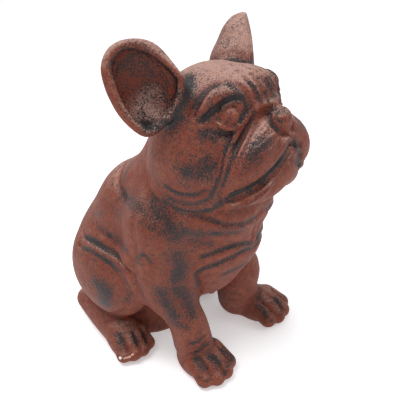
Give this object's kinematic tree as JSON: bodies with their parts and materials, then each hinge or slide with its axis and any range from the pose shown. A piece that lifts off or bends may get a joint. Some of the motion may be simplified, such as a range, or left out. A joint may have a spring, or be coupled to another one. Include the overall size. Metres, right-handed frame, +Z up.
{
  "type": "bulldog garden statue",
  "caption": "Sitting French bulldog garden statue with its head raised and large hollow ears, cast in one piece to stand on the ground.",
  "frame": {"origin": "middle of the bounding box, on the level that the feet and the rump stand on", "axes": "+Z up, the dog faces -Y, and its right side is at -X"},
  "size_m": [0.2215, 0.2907, 0.3803],
  "materials": {
    "cast_clay": "matt, rust red with a rubbed black patina"
  },
  "bodies": {
    "root": {"bulldog": "cast_clay"}
  },
  "joints": []
}
